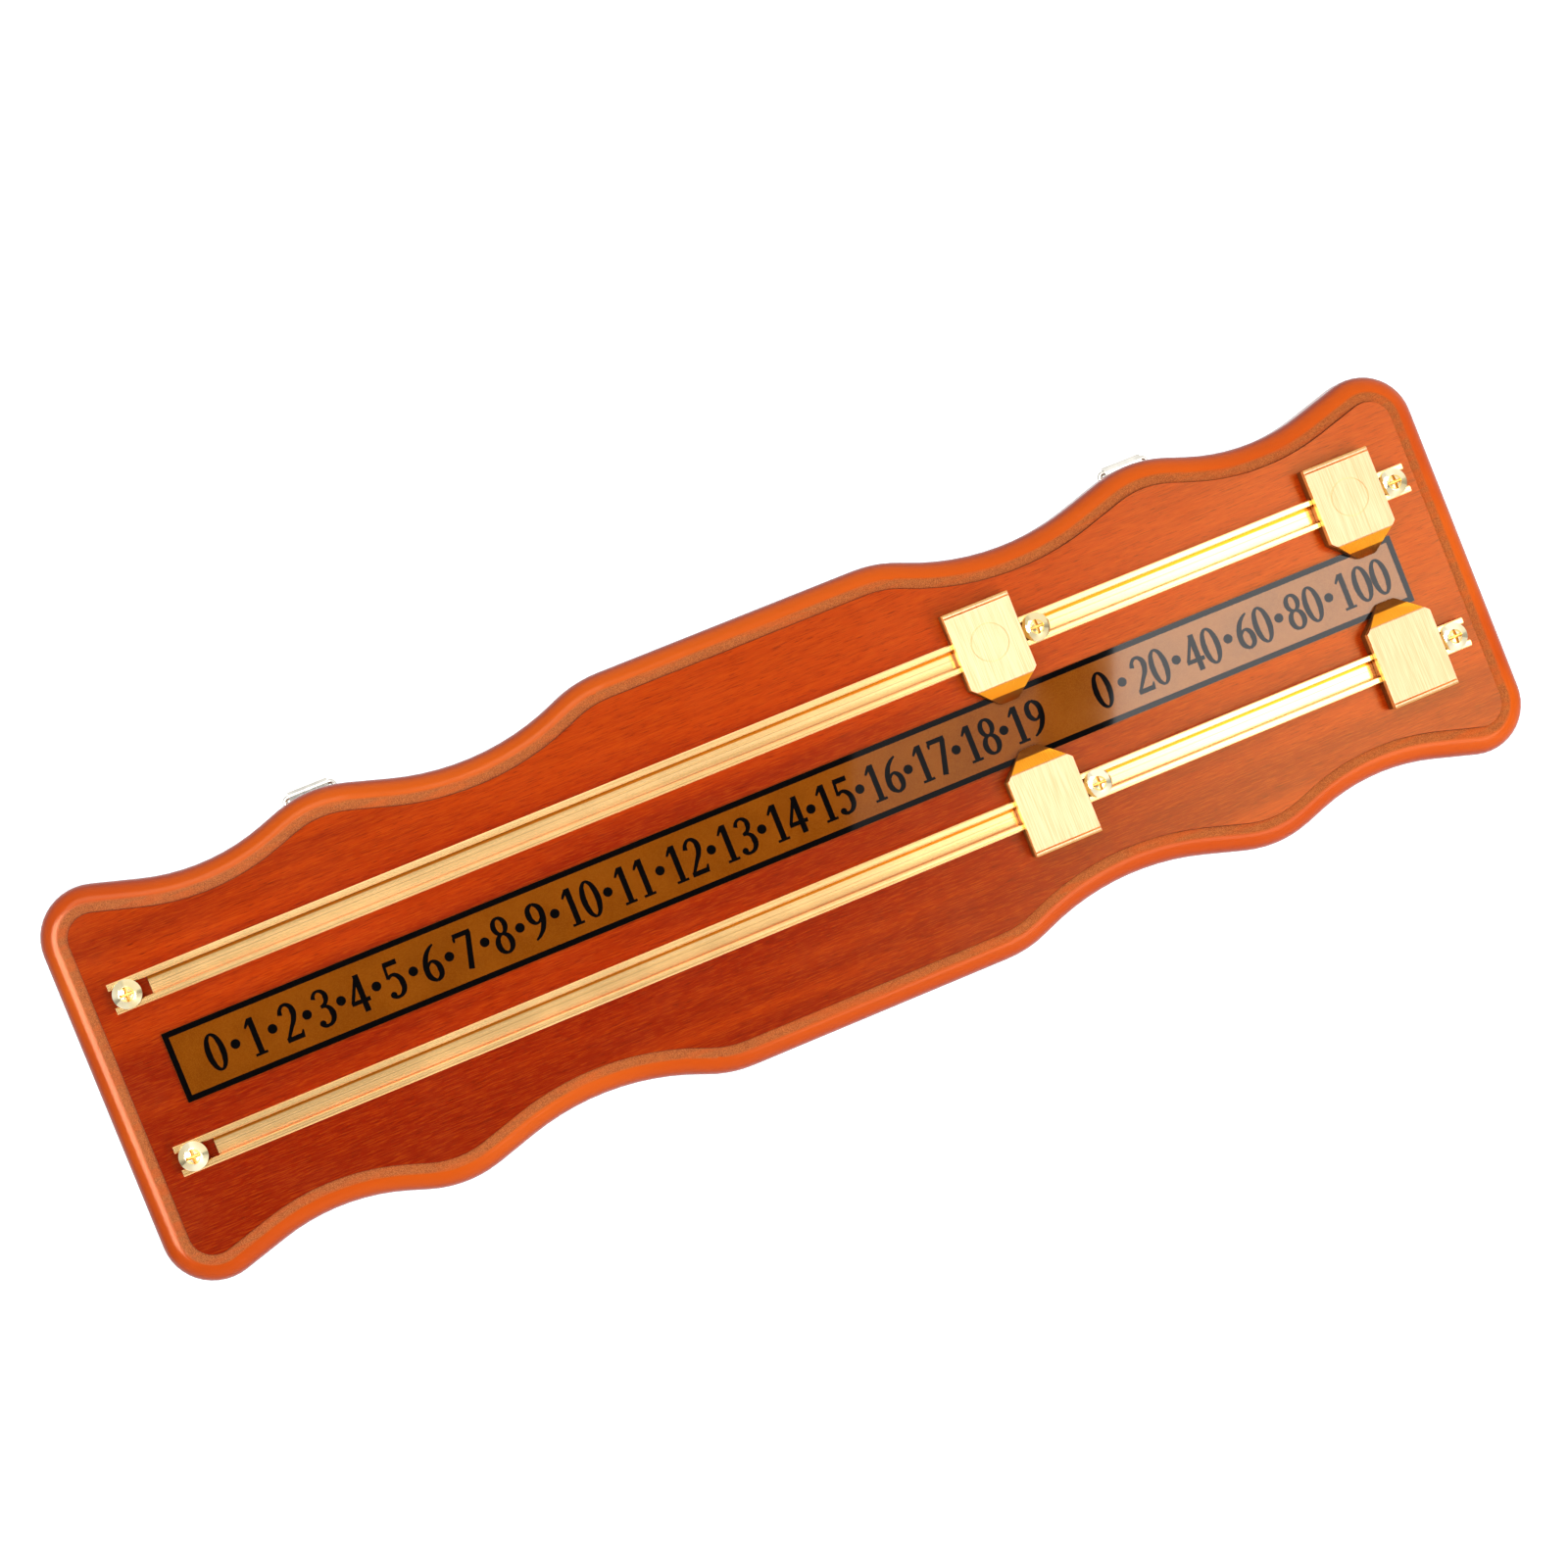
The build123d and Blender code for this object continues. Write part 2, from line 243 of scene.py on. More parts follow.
# Painted shade: the wood is painted lighter upwards and to the right, darker towards the lower
# left.
painted_light_upwards, painted_light_to_right = 2.6, 0.55
tone_and_painted_shade = arithmetic(tree, "MULTIPLY_ADD", height, painted_light_upwards, bands.outputs["Broad"])
tone_and_painted_shade = arithmetic(tree, "MULTIPLY_ADD", across, painted_light_to_right, tone_and_painted_shade)
# The painted shade and a slow random tone choose between the deep and the light stain.
stain_and_shade = blend_colours(tree, between(tree, tone_and_painted_shade, 0.32, 0.68), ink(150, 24, 0), ink(194, 57, 1))

dark_bands = between(tree, bands.outputs["Fine"], 0.42, 0.66, 0.0, 0.24)
stain_and_shade = blend_colours(tree, dark_bands, stain_and_shade, ink(150, 30, 0))
light_grain = between(tree, grain.outputs["Fine"], 0.34, 0.52, 0.30, 0.0)
stain_and_shade = blend_colours(tree, light_grain, stain_and_shade, ink(218, 88, 10))
pores = arithmetic(tree, "MULTIPLY", grain.outputs["Rare"], 0.62)
stain_and_shade = blend_colours(tree, pores, stain_and_shade, ink(96, 14, 0))
feed(tree, stain_and_shade, shader.inputs["Base Color"])
report(veneer_face)

# %% [markdown]
# ## The face veneer: its lacquer
# Over the stain lies a glossy lacquer with a warm tint, and the grain still shows in it as faint
# ripples. A separate clear coat would add a second, white shine. The photographed shine is warm, so
# the shader's own reflection is tinted instead, and its roughness follows the blotches of handling.

# %% Face veneer: gloss and relief
rubbed = use_group(tree, handling, {"Place": place})
feed(tree, between(tree, rubbed.outputs["Mask"], 0.0, 1.0, 0.16, 0.20), shader.inputs["Roughness"])
shader.inputs["Specular Tint"].default_value = ink(255, 204, 128)
shader.inputs["Specular IOR Level"].default_value = 0.54
relief(tree, shader, grain.outputs["Fine"], 0.05 * MM, 0.5)
report(veneer_face)

# %% [markdown]
# ## Measuring a piece
# The recipes from here on need to know where things are: how far forward the board's core reaches,
# how high the rails stand, where the screws sit. Such numbers could be typed in, but a later change
# of the model would leave them behind. So they are read off the boxes of the loaded pieces, and
# only what no box shows, such as the depth of a ledge, is typed. The front of the board faces
# towards smaller depths, so a front is the smallest depth of its piece.

# %% Helpers: measure a piece
def measure(name):
    """Where a piece begins and ends, in millimetres."""
    low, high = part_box(name)
    left, front, bottom = (round(value / MM, 3) for value in low)
    right, back, top = (round(value / MM, 3) for value in high)
    return {"left": left, "right": right, "front": front, "back": back,
            "bottom": bottom, "top": top}


def halfway(first, second):
    return round((first + second) / 2, 3)


core = measure("board_core")
print("board core", core)

# %% [markdown]
# ## The moulded edge: telling its parts apart
# The core shows only round the rim. A narrow ledge, cut just below the veneer, is sandy and dull,
# and the rounded rim outside it is sprayed a glossy orange. Both belong to one solid, and two
# solids would only bring a seam. So the material tells them apart by depth: the ledge lies on one
# level, and the rim falls away behind it. The foot of the small step up to the veneer gets a dark
# painted shade, found by ambient occlusion, which is low wherever two faces meet in a corner.

# %% Moulded edge: masks
edge, tree, shader, place = start_material("moulded_edge")
_, depth, _ = split(tree, place)
ledge_depth = 0.7
ledge_level = (core["front"] + ledge_depth) * MM
not_behind = between(tree, depth, ledge_level + 0.09 * MM, ledge_level)
not_in_front = between(tree, depth, ledge_level - 0.12 * MM, ledge_level - 0.04 * MM)
on_ledge = arithmetic(tree, "MULTIPLY", not_behind, not_in_front)

# Painted shade in the corner at the foot of the step, found by ambient occlusion.
corner = add_node(tree, "ShaderNodeAmbientOcclusion", {"samples": 8, "only_local": True}, {
    "Distance": 0.55 * MM})
by_the_step = between(tree, depth, ledge_level + 0.5 * MM, ledge_level + 0.1 * MM)
painted_step_shade = arithmetic(tree, "MULTIPLY", between(tree, corner.outputs["AO"], 0.92, 0.62),
                       by_the_step)
print("ledge level", round(ledge_level / MM, 1), "mm")

# %% [markdown]
# ## The moulded edge: its colours
# The rim is orange and is painted darker towards the back, as painted shade where it turns away
# from the light. The ledge is sanded: fine specks of light wood show through the stain. The specks
# are noise of about a fifth of a millimetre, and slow streaks decide how far the ledge is sanded,
# so that it isn't even all round.

# %% Moulded edge: colour
specks = add_node(tree, "ShaderNodeTexNoise", None, {
    "Vector": place, "Scale": 4600.0, "Detail": 3.0, "Roughness": 0.75})
flow = use_group(tree, streaks, {"Place": place, "Stretch": (40.0, 160.0, 260.0)})
rim = blend_colours(tree, between(tree, flow.outputs["Broad"], 0.35, 0.65),
                    ink(212, 78, 5), ink(226, 94, 10))
# Painted shade: the rim is painted darker towards the back, where it turns away from the light.
painted_rim_shade = between(tree, depth, ledge_level + 1.2 * MM, ledge_level + 4.5 * MM)
rim = blend_colours(tree, painted_rim_shade, rim, ink(176, 48, 4))
sand = blend_colours(tree, between(tree, specks.outputs[0], 0.40, 0.62),
                     ink(142, 58, 14), ink(208, 118, 52))
sanded = arithmetic(tree, "MULTIPLY", on_ledge,
                    between(tree, flow.outputs["Fine"], 0.34, 0.56, 0.45, 0.90))
colour = blend_colours(tree, sanded, rim, sand)
# The painted shade at the foot of the step darkens the colour there.
colour = blend_colours(tree, painted_step_shade, colour, ink(92, 26, 4))
feed(tree, colour, shader.inputs["Base Color"])
report(edge)

# %% [markdown]
# ## The moulded edge: its gloss
# The sprayed rim mirrors the lamps as a long soft line, and the sanded ledge doesn't. One roughness
# could not show both, so the mask of the ledge blends two of them, and the specks are raised a
# little on the ledge only.

# %% Moulded edge: gloss and relief
rim_roughness, ledge_roughness = 0.20, 0.42
dull = blend_colours(tree, on_ledge, (rim_roughness,) * 3 + (1,), (ledge_roughness,) * 3 + (1,))
feed(tree, dull, shader.inputs["Roughness"])
shader.inputs["Specular IOR Level"].default_value = 0.28
shader.inputs["Specular Tint"].default_value = ink(255, 214, 176)
relief(tree, shader, arithmetic(tree, "MULTIPLY", specks.outputs[0], on_ledge), 0.2 * MM, 0.8)
report(edge)

# %% [markdown]
# ## The back
# A balancing veneer on the back keeps the board flat. Nobody looks at it, so on the real board it
# is a plain wood with a thin satin seal. It uses the same streaks as the face, but with wider
# spacing, paler inks and a duller surface, which makes the two clearly one family.

# %% Back veneer material
veneer_back, tree, shader, place = start_material("plain_veneer")
grain = use_group(tree, streaks, {"Place": place, "Stretch": (60.0, 300.0, 1300.0)})
wood = blend_colours(tree, between(tree, grain.outputs["Broad"], 0.35, 0.65),
                     ink(176, 118, 72), ink(196, 140, 92))
pores = arithmetic(tree, "MULTIPLY", grain.outputs["Rare"], 0.5)
wood = blend_colours(tree, pores, wood, ink(120, 72, 38))
feed(tree, wood, shader.inputs["Base Color"])
rubbed = use_group(tree, handling, {"Place": place})
feed(tree, between(tree, rubbed.outputs["Mask"], 0.0, 1.0, 0.50, 0.62), shader.inputs["Roughness"])
relief(tree, shader, grain.outputs["Fine"], 0.08 * MM, 0.6)
report(veneer_back)

# %% [markdown]
# ## The scale strip
# The strip is printed with a bronze ink that has fine metal flakes in it, and a glossy film covers
# it. A fully metallic material would turn black wherever the room is dark, and the photographed
# strip doesn't. So most of its colour is plain ink with a little metal in it, and its flakes are
# the cells of a Voronoi texture. Half of the shine is the film's clear white coat and half is the
# ink's own warm one. The cut sides of the strip are dark.

# %% Scale strip material
bronze, tree, shader, place = start_material("bronze_print")
_, depth, _ = split(tree, place)
flakes = add_node(tree, "ShaderNodeTexVoronoi", {"feature": "F1"}, {
    "Vector": place, "Scale": 3200.0})
cloud = add_node(tree, "ShaderNodeTexNoise", None, {"Vector": place, "Scale": 60.0, "Detail": 3.0})
ground = blend_colours(tree, between(tree, cloud.outputs[0], 0.35, 0.65),
                       ink(134, 66, 2), ink(144, 73, 4))
ground = blend_colours(tree, between(tree, flakes.outputs["Distance"], 0.1, 0.6, 0.20, 0.0),
                       ground, ink(206, 132, 48))
strip = measure("scale_strip")
print_face, cut_side = (strip["front"] + 0.03) * MM, (strip["front"] + 0.10) * MM
on_side = between(tree, depth, print_face, cut_side)
ground = blend_colours(tree, on_side, ground, ink(16, 14, 15))
feed(tree, ground, shader.inputs["Base Color"])
shader.inputs["Metallic"].default_value = 0.03
shader.inputs["Specular Tint"].default_value = ink(255, 243, 209)
feed(tree, between(tree, cloud.outputs[0], 0.3, 0.7, 0.05, 0.07), shader.inputs["Roughness"])
shader.inputs["Coat Weight"].default_value = 0.4
shader.inputs["Coat Roughness"].default_value = 0.03
report(bronze)

# %% [markdown]
# ## The tape
# Thin double-sided foam tape holds the strip. Only its edge can ever be seen, as a pale line. Fine
# noise stands for the cells of the foam, which would be far too many to model.

# %% Tape material
tape, tree, shader, place = start_material("foam_tape")
cells = add_node(tree, "ShaderNodeTexNoise", None, {
    "Vector": place, "Scale": 2500.0, "Detail": 2.0})
feed(tree, blend_colours(tree, cells.outputs[0], ink(205, 200, 188), ink(232, 228, 218)),
     shader.inputs["Base Color"])
shader.inputs["Roughness"].default_value = 0.8
relief(tree, shader, cells.outputs[0], 0.03 * MM, 0.5)
report(tape)

# %% [markdown]
# ## The gold metal
# Rails and pointers are aluminium, anodised a pale gold, and both are brushed. Brushing shows in
# three ways at once: fine changes of colour, of roughness, and a very shallow relief. It also draws
# a highlight out across the lines, which modelled scratches could only show with millions of faces.
# The shader's anisotropy does the same with one number. One helper makes both metals, because they
# differ only in the direction of the lines, in their inks and in how coarse they are.

# %% Helper: gold metal
def gold_metal(name, stretch, light, dark, roughness, line_depth, across_lines):
    material, tree, shader, place = start_material(name)
    lines = use_group(tree, streaks, {"Place": place, "Stretch": stretch})
    rubbed = use_group(tree, handling, {"Place": place})
    tone = blend_colours(tree, between(tree, lines.outputs["Fine"], 0.32, 0.68), dark, light)
    gloss = between(tree, lines.outputs["Fine"], 0.3, 0.7, roughness - 0.02, roughness + 0.02)
    duller = arithmetic(tree, "MULTIPLY", rubbed.outputs["Mask"], 0.03)
    gloss = arithmetic(tree, "ADD", gloss, duller)
    feed(tree, gloss, shader.inputs["Roughness"])
    shader.inputs["Metallic"].default_value = 1.0
    shader.inputs["Anisotropic"].default_value = 0.90
    shader.inputs["Anisotropic Rotation"].default_value = across_lines
    relief(tree, shader, lines.outputs["Fine"], line_depth, 0.5)
    return material, tree, shader, place, tone, gloss


print("helper for gold metal is ready")

# %% [markdown]
# ## The rails
# The extruder's die draws fine lines along a rail and leaves two deeper ones, one in the floor of
# the slot and one on the lower lip. They could be modelled as grooves, but they have no depth to
# speak of, so they are colour. The floor also gets painted shade: an amber band under the upper
# lip, where the lip shades the floor, and a fainter one beside the lower lip. All of them are
# placed by the distance from the rail's own middle line. The two rails stand equally far above and
# below the middle of the scale, so the sign of a point's height above that middle tells which rail
# it is on.

# %% Rail material
upper_rail, lower_rail = measure("upper_rail"), measure("lower_rail")
upper_middle = halfway(upper_rail["bottom"], upper_rail["top"])
lower_middle = halfway(lower_rail["bottom"], lower_rail["top"])
scale_middle = halfway(upper_middle, lower_middle)
rail_reach = halfway(upper_middle, -lower_middle)

rail_gold, tree, shader, place, tone, _ = gold_metal(
    "rail_gold", (9.0, 5200.0, 5200.0), ink(254, 211, 148), ink(251, 201, 128),
    roughness=0.22, line_depth=0.003 * MM, across_lines=0.25)
_, depth, height = split(tree, place)
from_scale = arithmetic(tree, "SUBTRACT", height, scale_middle * MM)
rail_middle = arithmetic(tree, "MULTIPLY", arithmetic(tree, "SIGN", from_scale), rail_reach * MM)
on_rail = arithmetic(tree, "SUBTRACT", from_scale, rail_middle)

die_lines = (0.0, -4.25)
scribed = 0.0
for line_height in die_lines:
    gap = arithmetic(tree, "ABSOLUTE", arithmetic(tree, "SUBTRACT", on_rail, line_height * MM))
    scribed = arithmetic(tree, "MAXIMUM", between(tree, gap, 0.16 * MM, 0.05 * MM), scribed)
tone = blend_colours(tree, arithmetic(tree, "MULTIPLY", scribed, 0.55), tone, ink(176, 112, 30))

rail_front = upper_rail["front"]
# Painted shade on the slot floor: an amber band under the upper lip and a fainter one by the lower.
shaded_in_slot = between(tree, depth, (rail_front + 0.3) * MM, (rail_front + 1.1) * MM)
shade_under_upper_lip = between(tree, on_rail, 1.6 * MM, 2.0 * MM)
shade_by_lower_lip = between(tree, on_rail, -2.4 * MM, -2.6 * MM, 0.0, 0.4)
painted_slot_shade = arithmetic(tree, "MULTIPLY", shaded_in_slot,
                   arithmetic(tree, "MAXIMUM", shade_under_upper_lip, shade_by_lower_lip))
# The painted shade is blended in as amber.
tone = blend_colours(tree, painted_slot_shade, tone, ink(214, 124, 26))
feed(tree, tone, shader.inputs["Base Color"])
print("rails stand", rail_reach, "mm above and below the scale's middle at", scale_middle)
report(rail_gold)

# %% [markdown]
# ## The pointers
# The pointers are sawn off a bar, and only their tops are brushed, across the bar, which leaves
# them pale and matt. The milled walls are smoother and are painted a deeper gold, a painted
# reflection of the orange wood beside them. The walls near the scale, which form the point, get a
# still deeper painted reflection, and the foot that runs in the slot is painted dark, as painted
# shade. Separate materials on separate faces would show a hard line wherever they meet. A pointer
# is one solid, so depth and the distance from the scale tell its faces apart and let one finish
# run into the next.

# %% Pointer material
pointer_gold, tree, shader, place, tone, gloss = gold_metal(
    "pointer_gold", (4200.0, 120.0, 70.0), ink(223, 170, 134), ink(203, 146, 104),
    roughness=0.44, line_depth=0.014 * MM, across_lines=0.0)
_, depth, height = split(tree, place)
from_scale = arithmetic(tree, "ABSOLUTE", arithmetic(tree, "SUBTRACT", height, scale_middle * MM))

pointer_front = measure("upper_units_pointer")["front"]
below_top = between(tree, depth, (pointer_front + 0.08) * MM, (pointer_front + 0.35) * MM)
# Painted reflection: the walls below the top are painted a deeper gold, as the orange wood
# mirrored.
tone = blend_colours(tree, below_top, tone, ink(218, 168, 96))
last_straight_wall, first_slanted_wall = 15.0 * MM, 14.0 * MM
near_scale = between(tree, from_scale, last_straight_wall, first_slanted_wall)
point_painted_reflection = arithmetic(tree, "MULTIPLY", below_top, near_scale)
# Painted reflection: the walls that form the point are painted a still deeper orange gold.
tone = blend_colours(tree, point_painted_reflection, tone, ink(230, 150, 37))
shaded_in_slot = between(tree, depth, (rail_front - 0.25) * MM, (rail_front + 0.05) * MM)
# Painted shade: the foot in the slot is painted dark brown.
tone = blend_colours(tree, shaded_in_slot, tone, ink(112, 64, 22))
feed(tree, tone, shader.inputs["Base Color"])

smoother_walls = -0.16
feed(tree, arithmetic(tree, "MULTIPLY_ADD", below_top, smoother_walls, gloss),
     shader.inputs["Roughness"])
report(pointer_gold)

# %% [markdown]
# ## Bright plating
# The rail screws are plated a pale brass, and so bright that they mirror the room. The hangers and
# their screws are nickel. Tumbling in the plating drum leaves both with faint hairlines, so the
# streaks serve once more, only weaker. One helper makes both, and the nickel is finished with it.

# %% Plating helper and nickel
def bright_plating(name, light, dark, roughness):
    material, tree, shader, place = start_material(name)
    hairlines = use_group(tree, streaks, {"Place": place, "Stretch": (900.0, 900.0, 260.0)})
    tone = blend_colours(tree, between(tree, hairlines.outputs["Broad"], 0.35, 0.65), dark, light)
    feed(tree, tone, shader.inputs["Base Color"])
    gloss = between(tree, hairlines.outputs["Fine"], 0.3, 0.7, roughness - 0.04, roughness + 0.06)
    feed(tree, gloss, shader.inputs["Roughness"])
    shader.inputs["Metallic"].default_value = 1.0
    relief(tree, shader, hairlines.outputs["Fine"], 0.01 * MM, 0.4)
    return material, tree, shader, place, tone, gloss


hanger_plating = bright_plating("nickel", ink(226, 222, 212), ink(198, 194, 184), 0.18)[0]
report(hanger_plating)

# %% [markdown]
# ## The rail screws
# The cross recess of each rail screw is stamped into its head before plating. Little light gets in,
# so it looks a dull gold. The recess itself is modelled in the solid, and a bright finish inside it
# would only mirror its own walls. So a small disc round each screw's middle, below the top of the
# head, is made rough and painted a dull gold, as a painted reflection. Both rails have their screws
# at the same three places, so three distances along the rails and one height on each are enough for
# all six.

# %% Rail screw material
screw_plating, tree, shader, place, tone, gloss = bright_plating(
    "pale_brass", ink(238, 228, 196), ink(216, 198, 150), 0.13)
across, depth, height = split(tree, place)

middle_screw, end_screws = measure("upper_rail_middle_screw"), measure("upper_rail_end_screws")
head_radius = halfway(middle_screw["right"], -middle_screw["left"])
screw_places = (end_screws["left"] + head_radius,
                halfway(middle_screw["left"], middle_screw["right"]),
                end_screws["right"] - head_radius)
along = 1.0
for screw_place in screw_places:
    gap = arithmetic(tree, "ABSOLUTE", arithmetic(tree, "SUBTRACT", across, screw_place * MM))
    along = arithmetic(tree, "MINIMUM", gap, along)
from_scale = arithmetic(tree, "ABSOLUTE", arithmetic(tree, "SUBTRACT", height, scale_middle * MM))
upright = arithmetic(tree, "SUBTRACT", from_scale, rail_reach * MM)
both_ways = add_node(tree, "ShaderNodeCombineXYZ", None, {0: along, 1: upright}).outputs[0]
from_screw = add_node(tree, "ShaderNodeVectorMath", {"operation": "LENGTH"}, {0: both_ways})

recess_edge, recess_inside = 2.5 * MM, 2.2 * MM
head_top, recess_wall = (middle_screw["front"] + 0.1) * MM, (middle_screw["front"] + 0.3) * MM
recess_roughness = 0.42
# Painted reflection: a rough disc in each recess is painted a dull gold.
painted_recess_reflection = arithmetic(tree, "MULTIPLY",
                       between(tree, from_screw.outputs["Value"], recess_edge, recess_inside),
                       between(tree, depth, head_top, recess_wall))
feed(tree, blend_colours(tree, painted_recess_reflection, tone, ink(222, 182, 100)), shader.inputs["Base Color"])
rough_recess = arithmetic(tree, "MULTIPLY", painted_recess_reflection, recess_roughness)
feed(tree, arithmetic(tree, "MAXIMUM", gloss, rough_recess), shader.inputs["Roughness"])
print("screws at", [round(screw_place, 2) for screw_place in screw_places], "mm along the rails")
report(screw_plating)

# %% [markdown]
# ## Dressing the nodes
# Each loaded node is one piece of the scoreboard, or a set of equal screws, and gets exactly one
# finish. Twenty-one lines could dress them one by one. But the names say what a piece is, so pieces
# of one kind are found by the end or the middle of their name, and only the five parts of the board
# itself are listed.

# %% Put each finish on its nodes
board_finishes = {
    "board_core": edge, "face_veneer": veneer_face, "back_veneer": veneer_back,
    "scale_tape": tape, "scale_strip": bronze,
}
for name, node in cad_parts.items():
    if name in board_finishes:
        finish = board_finishes[name]
    elif name.endswith("_rail"):
        finish = rail_gold
    elif name.endswith("_pointer"):
        finish = pointer_gold
    elif "_rail_" in name:
        finish = screw_plating
    else:
        finish = hanger_plating
    node.data.materials.clear()
    node.data.materials.append(finish)
print("dressed", len(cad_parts), "nodes")

# %% [markdown]
# ## The figures of the scale
# The figures are condensed, with thick uprights and thin turns, as a broad pen would draw them. A
# font could set them, but none has these shapes and Blender's own is far too wide. So each figure
# is a few strokes of a pen: points that say where the nib is, in millimetres from the figure's
# lower left corner, and how wide it presses there. A loop is an oval that closes on itself, and its
# sides are thicker than its top and bottom.

# %% The pen strokes of each figure
def oval(x, y, half_width, half_height, thick=1.95, thin=0.85, corners=12):
    turns = [2 * math.pi * k / corners for k in range(corners)]
    return [(x + half_width * math.cos(t), y + half_height * math.sin(t),
             thin + (thick - thin) * abs(math.cos(t)) ** 1.4) for t in turns]


figures = {
    "0": [("loop", oval(3.2, 6.3, 2.25, 5.8))],
    "1": [("line", [(3.4, 0.2, 1.9), (3.4, 12.4, 1.9)]),
          ("curve", [(1.1, 9.6, 0.7), (2.1, 10.9, 1.1), (3.0, 11.8, 1.4)]),
          ("line", [(1.3, 0.4, 0.85), (5.3, 0.4, 0.85)])],
    "2": [("curve", [(0.9, 9.2, 1.6), (1.5, 11.0, 1.2), (3.0, 12.0, 1.0), (4.6, 11.1, 1.5),
                     (5.1, 9.3, 1.95), (4.6, 6.9, 1.7), (3.0, 4.4, 1.3), (0.9, 1.2, 1.0)]),
          ("line", [(0.3, 0.85, 1.6), (6.0, 0.85, 1.6)]),
          ("curve", [(5.5, 0.9, 1.2), (6.1, 2.6, 0.5)])],
    "3": [("curve", [(0.9, 9.9, 1.5), (1.6, 11.4, 1.1), (3.0, 12.0, 0.9), (4.5, 11.1, 1.4),
                     (4.9, 9.6, 1.8), (4.2, 7.7, 1.3), (2.4, 6.8, 0.9)]),
          ("curve", [(2.4, 6.8, 0.9), (4.2, 6.4, 1.2), (5.3, 4.0, 2.0), (4.6, 1.5, 1.5),
                     (2.9, 0.6, 1.0), (1.5, 0.9, 1.3), (1.0, 1.7, 1.7)]),
          ("dot", [(1.2, 1.7, 2.1)])],
    "4": [("line", [(4.3, 0.0, 1.9), (4.3, 12.3, 1.9)]),
          ("line", [(4.3, 12.0, 1.1), (0.6, 4.0, 1.1)]),
          ("line", [(0.1, 3.7, 1.4), (6.4, 3.7, 1.4)])],
    "5": [("line", [(1.1, 11.5, 1.7), (5.6, 11.5, 1.7)]),
          ("line", [(1.5, 11.8, 1.0), (1.2, 6.9, 1.0)]),
          ("curve", [(1.2, 7.0, 1.0), (2.8, 7.8, 1.1), (4.5, 6.7, 1.6), (5.2, 4.3, 1.95),
                     (4.6, 1.7, 1.6), (2.9, 0.6, 1.0), (1.5, 0.9, 1.3), (1.0, 1.6, 1.7)]),
          ("dot", [(1.15, 1.6, 2.1)])],
    "6": [("curve", [(5.6, 12.1, 0.6), (3.9, 11.0, 1.2), (2.1, 8.8, 1.65), (1.1, 5.4, 1.95),
                     (1.4, 2.4, 1.8), (3.1, 0.6, 0.9)]),
          ("curve", [(3.1, 0.6, 0.9), (4.8, 1.7, 1.6), (5.3, 3.9, 1.95), (4.7, 6.1, 1.6),
                     (3.3, 7.0, 0.9), (1.7, 5.8, 0.9)])],
    "7": [("line", [(0.2, 11.6, 1.6), (6.2, 11.6, 1.6)]),
          ("line", [(5.5, 11.5, 1.7), (2.5, 0.0, 1.9)]),
          ("curve", [(0.5, 11.2, 1.1), (0.3, 9.7, 0.6)])],
    "8": [("loop", oval(3.15, 9.3, 1.9, 2.65, 1.75, 0.9)),
          ("loop", oval(3.15, 3.55, 2.2, 3.05, 1.9, 0.9))],
    "9": [("curve", [(0.8, 0.5, 0.6), (2.5, 1.6, 1.2), (4.3, 3.8, 1.65), (5.3, 7.2, 1.95),
                     (5.0, 10.2, 1.8), (3.3, 12.0, 0.9)]),
          ("curve", [(3.3, 12.0, 0.9), (1.6, 10.9, 1.6), (1.1, 8.7, 1.95), (1.7, 6.5, 1.6),
                     (3.1, 5.6, 0.9), (4.7, 6.8, 0.9)])],
    ".": [("dot", [(3.2, 6.3, 3.1)])],
}
print("figures", len(figures))

# %% [markdown]
# ## Drawing with the nib
# A stroke is a Bezier curve. Automatic handles carry it smoothly through its points, and the radius
# of each point scales the nib there. The nib is a straight line one millimetre long, which the
# curve carries along as its bevel, so the stroke comes out flat, like ink. It then becomes a mesh,
# because only a mesh can be joined and exported. A dot has no length to draw along, so it is a
# filled circle.

# %% Draw one stroke
def pen_curve(points, handles, closed=False):
    bpy.ops.curve.primitive_bezier_curve_add()
    made = bpy.context.object
    spline = made.data.splines[0]
    spline.bezier_points.add(len(points) - len(spline.bezier_points))
    spline.use_cyclic_u = closed
    for point, (x, y, z, width) in zip(spline.bezier_points, points):
        point.co = (x, y, z)
        point.radius = width
        point.handle_left_type = point.handle_right_type = handles
    return made


def draw_stroke(kind, points, shift_x, shift_y, layer, nib):
    if kind == "dot":
        x, y, width = points[0]
        bpy.ops.mesh.primitive_circle_add(vertices=36, radius=width / 2, fill_type="NGON",
                                          location=(x + shift_x, y + shift_y, layer))
        return bpy.context.object
    placed = [(x + shift_x, y + shift_y, layer, width) for x, y, width in points]
    made = pen_curve(placed, "VECTOR" if kind == "line" else "AUTO", closed=kind == "loop")
    made.data.resolution_u = 8
    made.data.bevel_mode = "OBJECT"
    made.data.bevel_object = nib
    bpy.ops.object.convert(target="MESH")
    return bpy.context.object


nib = pen_curve([(-0.5, 0, 0, 1), (0.5, 0, 0, 1)], "VECTOR")
nib.data.resolution_u = 1
print("nib of", len(nib.data.splines[0].bezier_points), "points")

# %% [markdown]
# ## Where the figures stand
# The units run from 0 to 19 and the hundreds from 0 to 100 in twenties. On the real scale they are
# spaced by eye, so no formula gives their places, and their centres are listed in millimetres from
# the board's centre. A dot stands midway between two neighbours, but not between 19 and the second
# 0. The strokes of one figure lie a few thousandths of a millimetre apart, because faces on exactly
# one level would flicker where they overlap.

